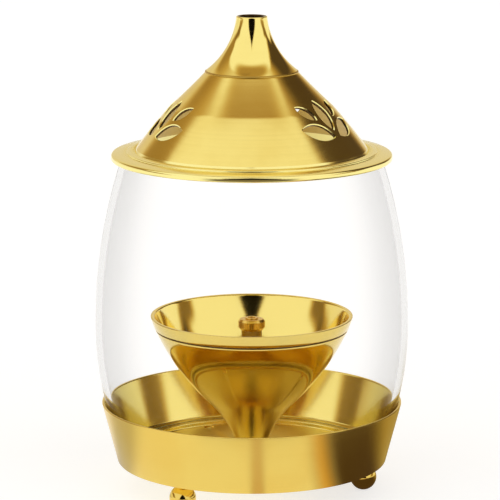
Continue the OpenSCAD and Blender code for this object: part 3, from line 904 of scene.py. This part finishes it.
class LAMP_OT_lid(bpy.types.Operator):
    """Spins the lid's cone and stepped flange, and pierces three sprigs of leaves through it"""

    bl_idname = "lamp.lid"
    bl_label = "Lid"

    def execute(self, context):
        s = context.scene.lamp_lid
        foot_z = s.flange_z + s.foot_h
        shoulder_z = foot_z + s.shoulder_h
        lean = (s.foot_r - s.shoulder_r) / s.shoulder_h
        hole_r = s.seat_r - s.cone_t
        lip_in = s.groove_in_r - s.lip_wall
        ring_r, ring_z = s.foot_r + s.ring_w, foot_z - s.ring_drop
        edge_z = s.flange_z + s.edge_t
        fine, step = 0.12 * MM, s.ring_step
        drop = s.cone_t
        upper_slope = (s.shoulder_r - s.seat_r) / (s.seat_z - shoulder_z)
        section = Section(hole_r, s.seat_z - drop - (hole_r - s.seat_r) / upper_slope)
        section.arc(s.shoulder_r, shoulder_z - drop, -s.hollow, rounding=fine)
        section.arc(s.foot_r - drop * lean, foot_z, s.swell, rounding=0.4 * MM)
        section.to(lip_in, s.flange_z + s.lip_wall, 0.3 * MM)
        section.to(lip_in, s.flange_z, 0.2 * MM)
        section.to(s.groove_in_r, s.flange_z, 0.2 * MM)
        section.to(s.groove_in_r, s.groove_z, 0.1 * MM)
        section.to(s.groove_out_r, s.groove_z, 0.1 * MM)
        section.to(s.groove_out_r, s.flange_z, 0.2 * MM)
        section.to(s.flange_r, s.flange_z, 0.6 * MM)
        section.to(s.flange_r, edge_z, 0.8 * MM)
        section.to(ring_r + step, ring_z - step, fine)
        section.to(ring_r, ring_z - step, fine)
        section.to(ring_r, ring_z, 0.25 * MM)
        section.to(s.foot_r + 2 * step, foot_z - step, 0.2 * MM)
        section.to(s.foot_r + 2 * step, foot_z - 2 * step, fine)
        section.to(s.foot_r + step, foot_z - 2 * step, fine)
        section.to(s.foot_r, foot_z, fine)
        section.arc(s.shoulder_r, shoulder_z, -s.swell, rounding=0.5 * MM)
        section.arc(s.seat_r, s.seat_z, s.hollow, rounding=0.1 * MM)
        section.to(hole_r, s.seat_z)
        cone = section.turned(closed=True)
        sheet = BVHTree.FromBMesh(cone)
        leaves = bmesh.new()
        tilt = Matrix.Rotation(math.atan2(1, lean), 4, "Y")
        for turn, lift in SPRIGS:
            for swing, rise, slant, leaf_l, leaf_w in LEAVES:
                z = shoulder_z + lift + rise
                r = s.shoulder_r + (shoulder_z - z) * lean
                bearing = Matrix.Rotation(math.radians(turn + swing - 90), 4, "Z")
                lean_over = Matrix.Rotation(math.radians(180 - slant), 4, "Z")
                place = bearing @ Matrix.Translation((r, 0, z)) @ tilt @ lean_over
                add_leaf(leaves, sheet, leaf_l, leaf_w, 3 * s.cone_t, place)
        brass = brass_material("Lid brass")
        bright = brass_material("Flange brass")
        bm = bored(cone, leaves, 3)
        for face in bm.faces:
            if face.calc_center_median().z < foot_z:
                face.material_index = 2
        make_piece(bm, "Lid_cone", "lid", "lid_cone", "lid_brass", brass, brass_material("Cut brass"), bright)
        return {"FINISHED"}


class LAMP_OT_spout(bpy.types.Operator):
    """Turns the flared spout and its spigot"""

    bl_idname = "lamp.spout"
    bl_label = "Spout"

    def execute(self, context):
        s = context.scene.lamp_lid
        spigot_r = s.seat_r - s.cone_t - FIT
        spigot_in = spigot_r - SPIGOT_WALL
        spigot_z = s.seat_z - SPIGOT_DEPTH
        foot_top = s.seat_z + s.spout_foot_h
        section = Section(spigot_in, spigot_z).to(spigot_r, spigot_z, 0.2 * MM)
        section.to(spigot_r, s.seat_z).to(s.spout_foot_r, s.seat_z, 0.12 * MM)
        section.to(s.spout_foot_r, foot_top, 0.15 * MM)
        section.arc(s.spout_mouth_r, s.top_z, s.spout_flare, LONG_ARC_STEPS, 0.3 * MM)
        section.to(s.spout_mouth_r - s.spout_wall, s.top_z, 0.3 * MM)
        section.arc(s.spout_foot_r - s.spout_wall, foot_top, -s.spout_flare, LONG_ARC_STEPS)
        section.to(spigot_in, foot_top)
        joint = brass_material("Joint brass")
        brass = brass_material("Spout brass")
        bm = section.turned(closed=True)
        for face in bm.faces:
            if s.seat_z < face.calc_center_median().z < foot_top + JOINT_LINE:
                face.material_index = 1
        make_piece(bm, "Lid_spout", "lid", "lid_spout", "lid_brass", brass, joint)
        return {"FINISHED"}


class LAMP_OT_fasteners(bpy.types.Operator):
    """Gives the cup's screw and washer, under the tray, their plain turned brass"""

    bl_idname = "lamp.fasteners"
    bl_label = "Screw and Washer"

    def execute(self, context):
        brass = brass_material("Fastener brass")
        for node in ("cup_screw", "cup_washer"):
            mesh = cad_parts[node].data
            mesh.materials.clear()
            mesh.materials.append(brass)
        return {"FINISHED"}


class LAMP_OT_stage(bpy.types.Operator):
    """Sets the pale floor, the soft light tent and the camera"""

    bl_idname = "lamp.stage"
    bl_label = "Stage"

    FLOOR_R = 12.0
    FLOOR_COLOUR = (0.44, 0.45, 0.47, 1)
    FLOOR_GLOW = 0.72
    # What the brass mirrors of the floor where the tent is open: in front and at the sides, at the far right,
    # at the seam in the middle, and at the hem where the open right side starts
    GAP = (0.085, 0.055, 0.033)
    FAR_GAP = (0.4, 0.28, 0.02)
    SEAM = (0.5, 0.2, 0.02)
    HEM = (0.75, 0.42, 0.05)
    # The tent's colour by its brightness: its dim parts are warm
    WARMTH = (
        (0.0, (0.004, 0.003, 0.002)),
        (0.08, (0.08, 0.052, 0.032)),
        (0.42, (0.42, 0.27, 0.1)),
        (0.58, (0.58, 0.41, 0.18)),
        (0.8, (0.8, 0.72, 0.55)),
        (1.0, (1.0, 1.0, 1.0)),
    )
    # The camera's lens and sensor in millimetres, where it stands and what it looks at
    LENS = 217.74
    SENSOR = 36.0
    STAND = Vector((-0.0006, -1.0388, 0.29481))
    AIM = Vector((-0.0006, 0, 0.08531))

    def execute(self, context):
        context.scene.view_settings.view_transform = "Standard"
        # Light crosses the glass many times on its way between the tray and the cup
        context.scene.cycles.max_bounces = 32
        context.scene.cycles.glossy_bounces = 10
        context.scene.cycles.transmission_bounces = 24
        self.floor()
        self.tent()
        self.camera()
        return {"FINISHED"}

    @staticmethod
    def bearing(n, way):
        """Turn from the front towards the right in degrees, and distance from the axis."""
        parts = n.parts(way)
        turn = n.math("ARCTAN2", parts["X"], n.times(parts["Y"], -1.0))
        away = n.vector("LENGTH", n.level_part(way))["Value"]
        return n.times(turn, 180 / math.pi), away

    def floor(self):
        """A plain pale floor. In the brass it darkens where the tent is open."""
        bm = bmesh.new()
        bmesh.ops.create_circle(bm, cap_ends=True, segments=96, radius=self.FLOOR_R)
        mesh = bpy.data.meshes.new("Floor")
        bm.to_mesh(mesh)
        bm.free()
        material, n = new_material("Pale floor")

        rays = n.add("ShaderNodeLightPath").outputs
        seen = n.math("MAXIMUM", rays["Is Camera Ray"], rays["Is Glossy Ray"])
        seen = n.math("MAXIMUM", seen, rays["Is Transmission Ray"])
        pale = n.add("ShaderNodeAddShader")
        lit = n.add("ShaderNodeBsdfDiffuse", {"Color": self.FLOOR_COLOUR})
        n.feed(lit.outputs[0], pale.inputs[0])
        glow = n.add("ShaderNodeEmission", {"Strength": n.times(seen, self.FLOOR_GLOW)})
        n.feed(glow.outputs[0], pale.inputs[1])
        turn, away = self.bearing(n, n.add("ShaderNodeTexCoord").outputs["Object"])
        near = n.ramp(away, 0.16, 0.3, 1, 0)
        far_right = n.ramp(turn, 80, 112)
        right = n.times(n.ramp(turn, 34, 54), n.ramp(turn, 80, 112, 1, 0.9))
        right = n.times(right, n.ramp(turn, 140, 170, 1, 0))
        left = n.times(n.ramp(turn, -130, -105), n.ramp(turn, -90, -70, 0.4, 0))
        front = n.times(n.ramp(n.math("ABSOLUTE", turn), 26, 42, 0.9, 0), n.ramp(away, 0.11, 0.17))
        open_floor = n.math("MAXIMUM", n.times(n.math("MAXIMUM", right, left), near), front)
        colour = n.mix(far_right, rgba(self.GAP), rgba(self.FAR_GAP))
        seam = n.ramp(n.math("ABSOLUTE", n.minus(turn, 3.1)), 1.5, 5.2, 1, 0)
        colour = n.mix(n.minus(seam, open_floor, clamp=True), colour, rgba(self.SEAM))
        open_floor = n.math("MAXIMUM", open_floor, n.times(seam, 0.5))
        hem = n.times(n.times(n.ramp(turn, 30, 40), n.ramp(turn, 40, 50, 1, 0)), near)
        colour = n.mix(hem, colour, rgba(self.HEM))
        open_floor = n.plus(open_floor, n.times(hem, 0.55), clamp=True)
        dark = n.add("ShaderNodeEmission", {"Color": colour, "Strength": 1.0})
        bounced = n.minus(rays["Is Glossy Ray"], rays["Is Transmission Ray"], clamp=True)
        mirrored = n.add("ShaderNodeMixShader", {0: n.times(open_floor, bounced)})
        n.feed(pale.outputs[0], mirrored.inputs[1])
        n.feed(dark.outputs[0], mirrored.inputs[2])
        n.finish(mirrored)
        mesh.materials.append(material)
        floor = bpy.data.objects.new("Floor", mesh)
        bpy.context.scene.collection.objects.link(floor)

    def tent(self):
        """A white tent round the lamp, open in front, with soft dark gaps where its walls end.
        Turns and lifts are in degrees, from the front and from level."""
        world = bpy.data.worlds.new("Light tent")
        bpy.context.scene.world = world
        world.use_nodes = True
        n = Nodes(world.node_tree)
        way = n.add("ShaderNodeTexCoord").outputs["Generated"]
        turn, away = self.bearing(n, way)
        aside = n.math("ABSOLUTE", turn)
        lift = n.times(n.math("ARCCOSINE", away), 180 / math.pi)

        def shut(mask, depth):
            """What a gap of the given depth leaves of the light."""
            return n.minus(1.0, n.times(mask, depth))

        # The tent's cap is dimmer in an oval overhead
        up = n.math("MAXIMUM", n.parts(way)["Z"], 0.02)
        oval = n.vector("MULTIPLY", way, (1 / 0.45, 1 / 0.2, 0))[0]
        oval = n.math("DIVIDE", n.vector("LENGTH", oval)["Value"], up)
        light = n.ramp(oval, 0.6, 1.5, 0.42, 1)
        # The back wall is a little dimmer
        back = n.times(n.ramp(aside, 138, 154), n.ramp(lift, 40, 60, 1, 0))
        light = n.times(light, shut(back, 0.24))
        # The opening in front narrows upwards
        front = n.ramp(n.minus(aside, n.ramp(lift, 8, 52, 23, 0)), -2, 2, 1, 0)
        front = n.times(front, n.ramp(lift, 46, 58, 1, 0))
        light = n.times(light, shut(front, 1.0))
        # The gap behind the right wall is deep, and its sill is higher towards the front
        start = n.plus(n.ramp(lift, 2, 30, 112, 93), n.ramp(lift, 44, 76, 0, 18))
        end = n.ramp(lift, 8, 40, 157, 152)
        right = n.times(n.ramp(n.minus(turn, start), -6, 8), n.ramp(n.minus(turn, end), -9, 9, 1, 0))
        sill = n.ramp(n.minus(lift, n.ramp(turn, 118, 140, 18, 6)), -3, 3)
        right = n.times(right, n.times(n.ramp(lift, 44, 74, 1, 0), sill))
        light = n.times(light, shut(right, 0.915))
        # The gap behind the left wall is shallower, and fades both ways
        end = n.ramp(lift, 28, 40, -103, -110)
        left = n.times(n.ramp(turn, -152, -136), n.ramp(n.minus(turn, end), -5, 5, 1, 0))
        left = n.times(left, n.times(n.ramp(lift, 28, 72, 1, 0.3), n.ramp(lift, 10, 17, 0.15, 1)))
        light = n.times(light, shut(left, 0.64))
        # A low slit on either side leans back as it rises
        off = n.math("ABSOLUTE", n.minus(aside, n.ramp(lift, 6, 18, 80, 94)))
        slit = n.times(n.ramp(off, 8, 19, 1, 0), n.times(n.ramp(lift, 2, 6), n.ramp(lift, 19, 25, 1, 0)))
        light = n.times(light, shut(slit, n.ramp(lift, 8, 14, 0.62, 0.76)))
        warm = n.add("ShaderNodeValToRGB", {"Fac": light})
        stops = warm.color_ramp.elements
        for place, _ in self.WARMTH[1:-1]:
            stops.new(place)
        for stop, (place, colour) in zip(stops, self.WARMTH):
            stop.position, stop.color = place, rgba(colour)
        glow = n.add("ShaderNodeBackground", {"Color": warm.outputs["Color"], "Strength": 1.0})
        n.finish(glow, "ShaderNodeOutputWorld")

    def camera(self):
        data = bpy.data.cameras.new("Camera")
        data.lens = self.LENS
        data.sensor_width = self.SENSOR
        camera = bpy.data.objects.new("Camera", data)
        bpy.context.scene.collection.objects.link(camera)
        camera.location = self.STAND
        camera.rotation_euler = (self.AIM - self.STAND).to_track_quat("-Z", "Y").to_euler()
        bpy.context.scene.camera = camera


class LAMP_PT_sidebar(bpy.types.Panel):
    """The lamp's pieces, in the order in which they are built"""

    bl_label = "Oil Lamp"
    bl_space_type = "VIEW_3D"
    bl_region_type = "UI"
    bl_category = "Oil Lamp"

    def draw(self, context):
        for operator in OPERATORS:
            self.layout.operator(operator.bl_idname)


OPERATORS = (
    LAMP_OT_stage,
    LAMP_OT_tray,
    LAMP_OT_feet,
    LAMP_OT_cup,
    LAMP_OT_wick_holder,
    LAMP_OT_chimney,
    LAMP_OT_lid,
    LAMP_OT_spout,
    LAMP_OT_fasteners,
)
GROUPS = {
    "lamp_tray": TraySizes,
    "lamp_feet": FootSizes,
    "lamp_cup": CupSizes,
    "lamp_wick": WickSizes,
    "lamp_chimney": ChimneySizes,
    "lamp_lid": LidSizes,
    "lamp_finishes": Finishes,
}


def register():
    for cls in (*GROUPS.values(), *OPERATORS, LAMP_PT_sidebar):
        bpy.utils.register_class(cls)
    for name, group in GROUPS.items():
        setattr(bpy.types.Scene, name, PointerProperty(type=group))


def unregister():
    for name in GROUPS:
        delattr(bpy.types.Scene, name)
    for cls in (LAMP_PT_sidebar, *reversed(OPERATORS), *reversed(GROUPS.values())):
        bpy.utils.unregister_class(cls)


def main():
    register()
    for operator in OPERATORS:
        category, name = operator.bl_idname.split(".")
        getattr(getattr(bpy.ops, category), name)()


if __name__ == "__main__":
    main()
